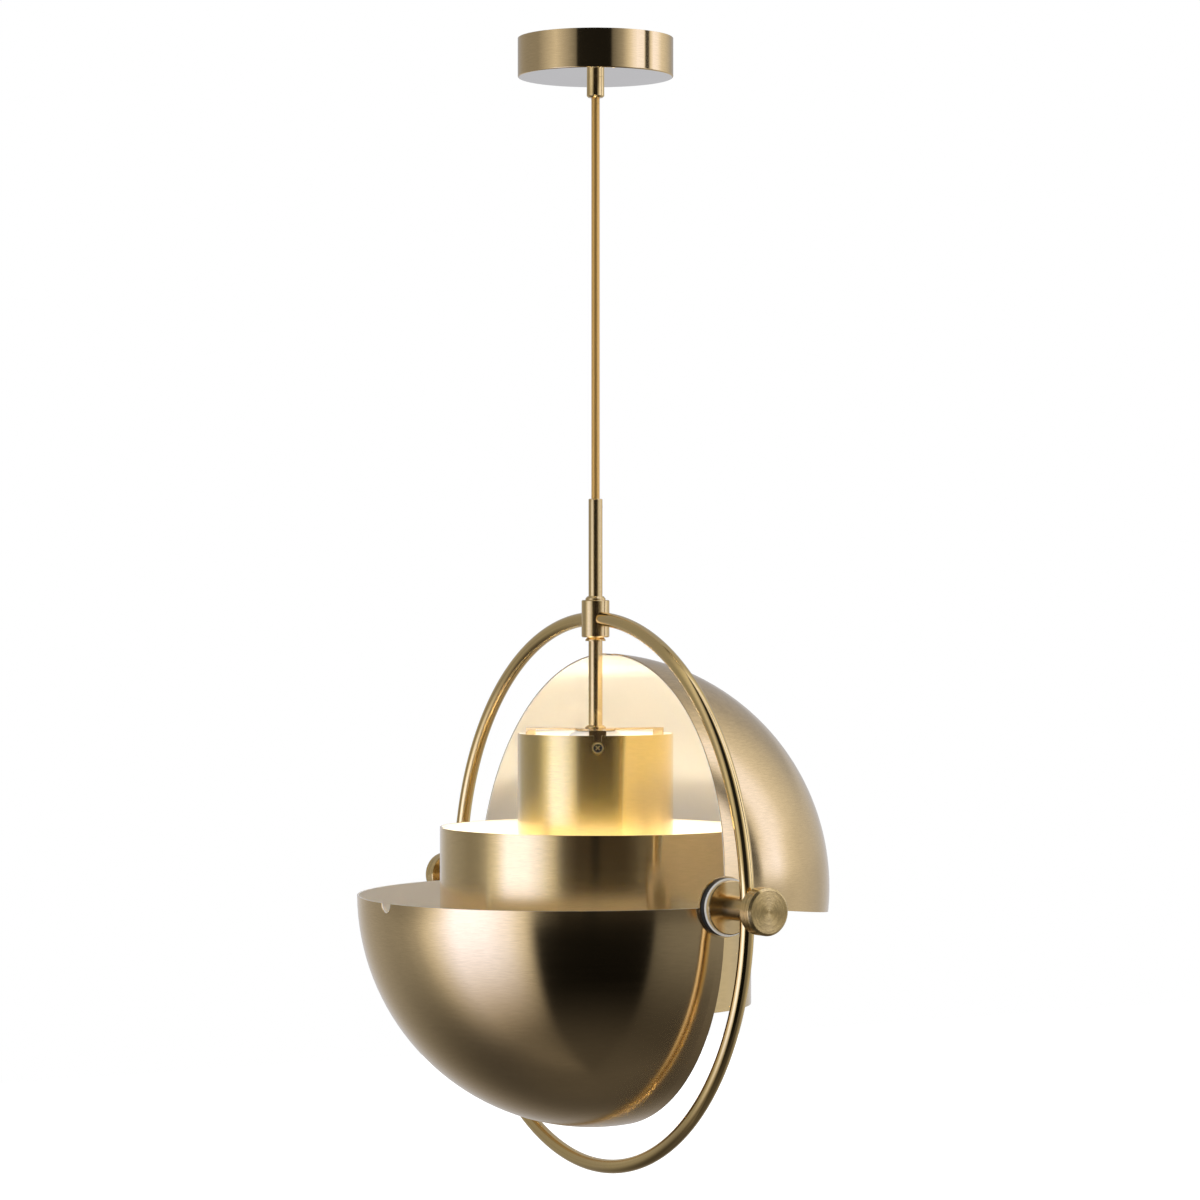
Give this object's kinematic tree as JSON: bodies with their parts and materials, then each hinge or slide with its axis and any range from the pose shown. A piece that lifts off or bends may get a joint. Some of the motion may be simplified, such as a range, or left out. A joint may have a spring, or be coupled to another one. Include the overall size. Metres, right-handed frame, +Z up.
{
  "type": "pendant lamp",
  "caption": "Pendant lamp on a textile cord, with nested metal cylinders round a bulb and quarter-sphere shades that turn inside an upright ring.",
  "frame": {"origin": "middle of the ceiling plane, between the bracket's two screw slots", "axes": "+Z up; X along the axis that the shades turn on; -Y towards the side that the front shade hangs on at rest"},
  "size_m": [0.3982, 0.3036, 0.7285],
  "materials": {
    "satin_brass": "brushed satin, lacquered",
    "zinc_steel": "zinc plated",
    "white_nylon": "natural white",
    "black_rubber": "matt",
    "cord_textile": "golden braid",
    "core_insulation": "smooth",
    "terminal_plastic": "moulded",
    "holder_plastic": "moulded black",
    "contact_brass": "plain",
    "cap_aluminium": "pressed",
    "bulb_glass": "opal"
  },
  "bodies": {
    "lamp_body": {"ceiling_bracket": "zinc_steel", "nipple_nut": "zinc_steel", "threaded_nipple": "zinc_steel", "terminal_block": "terminal_plastic", "canopy_cup": "satin_brass", "cord_grip": "satin_brass", "grip_screw": "zinc_steel", "suspension_cord": "cord_textile", "upper_stem": "satin_brass", "stem_screw": "zinc_steel", "core_wires": "core_insulation", "hub_top_collar": "satin_brass", "hub_sleeve": "satin_brass", "hub_bottom_collar": "satin_brass", "ring_upper_left": "satin_brass", "ring_upper_right": "satin_brass", "ring_lower": "satin_brass", "lower_stem": "satin_brass", "stem_foot_collar": "satin_brass", "spider_bracket": "satin_brass", "body_screws": "satin_brass", "upper_cylinder": "satin_brass", "upper_drum_bracket": "satin_brass", "drum_cylinder": "satin_brass", "lower_drum_bracket": "satin_brass", "lower_cylinder": "satin_brass", "lampholder_cap": "holder_plastic", "lampholder_body": "holder_plastic", "holder_contact": "contact_brass", "bulb_cap": "cap_aluminium", "bulb_glass": "bulb_glass", "left_ear_washer": "white_nylon", "left_rubber_washer": "black_rubber", "left_nylon_washer": "white_nylon", "left_inner_washer": "zinc_steel", "left_pivot_disc": "satin_brass", "left_pivot_barrel": "satin_brass", "left_spindle": "zinc_steel", "left_spindle_nut": "zinc_steel", "right_ear_washer": "white_nylon", "right_rubber_washer": "black_rubber", "right_nylon_washer": "white_nylon", "right_inner_washer": "zinc_steel", "right_pivot_disc": "satin_brass", "right_pivot_barrel": "satin_brass", "right_spindle": "zinc_steel", "right_spindle_nut": "zinc_steel"},
    "front_shade": {"front_shade": "satin_brass"},
    "rear_shade": {"rear_shade": "satin_brass"},
    "left_knob": {"left_knob": "satin_brass"},
    "right_knob": {"right_knob": "satin_brass"}
  },
  "joints": [
    {"name": "front_shade_turn", "type": "hinge", "parent": "lamp_body", "child": "front_shade", "pos_m": [0, 0, -0.5485], "axis": [-1, 0, 0], "range_deg": [0, 89.9]},
    {"name": "rear_shade_turn", "type": "hinge", "parent": "lamp_body", "child": "rear_shade", "pos_m": [0, 0, -0.5485], "axis": [-1, 0, 0], "range_deg": [-3, 80.3]},
    {"name": "left_knob_turn", "type": "hinge", "parent": "lamp_body", "child": "left_knob", "pos_m": [-0.194, 0, -0.5485], "axis": [-1, 0, 0], "range_deg": [-90, 90]},
    {"name": "right_knob_turn", "type": "hinge", "parent": "lamp_body", "child": "right_knob", "pos_m": [0.194, 0, -0.5485], "axis": [1, 0, 0], "range_deg": [-90, 90]}
  ]
}
